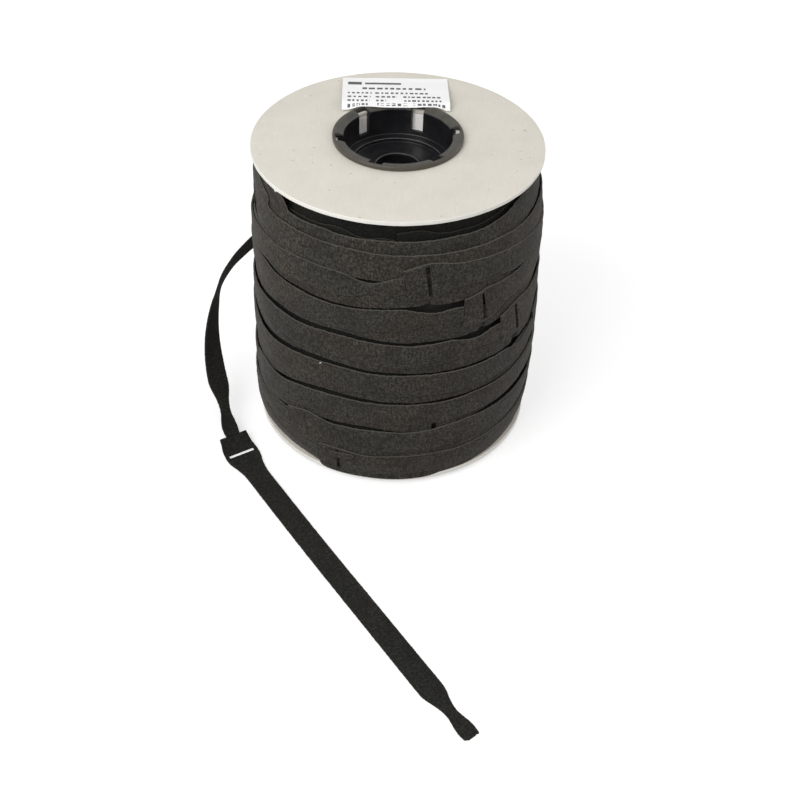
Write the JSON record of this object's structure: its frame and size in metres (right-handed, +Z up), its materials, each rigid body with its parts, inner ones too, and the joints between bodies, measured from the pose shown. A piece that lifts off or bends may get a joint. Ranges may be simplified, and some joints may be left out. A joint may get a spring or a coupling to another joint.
{
  "type": "hook and loop strap reel",
  "caption": "Cardboard reel wound with die-cut slotted hook and loop straps, plastic hubs in its core, one strap paid out to a loose end strap",
  "frame": {"origin": "centre of the reel's footprint, on the surface that the reel's lower hub stands on", "axes": "+Z up along the reel's axis, -Y towards the side that the picture shows, with the loose straps towards -X and -Y"},
  "size_m": [0.2305, 0.4067, 0.2172],
  "materials": {
    "cardboard": "uncoated grey-white cardboard with a fine felt-side texture",
    "core_card": "pale spiral-wound cardboard tube",
    "black_plastic": "black moulded plastic with a dusty satin lip",
    "label_paper": "smooth white label paper",
    "wound_cloth": "heathered charcoal loop pile with fine ribs across the strap",
    "strap_cloth": "dark charcoal loop pile"
  },
  "bodies": {
    "reel": {"bottom_flange": "cardboard", "top_flange": "cardboard", "core_tube": "core_card", "bottom_hub": "black_plastic", "top_hub": "black_plastic", "label": "label_paper", "inner_windings": "wound_cloth", "outer_turns": "wound_cloth", "hanging_strap": "strap_cloth"},
    "loose_strap": {"end_strap": "strap_cloth"}
  },
  "joints": [
    {"name": "tear_line_fold", "type": "hinge", "parent": "reel", "child": "loose_strap", "pos_m": [-0.11039, -0.05427, 0.0061], "axis": [-0.8423, -0.5391, 0], "range_deg": [0, 90]}
  ]
}
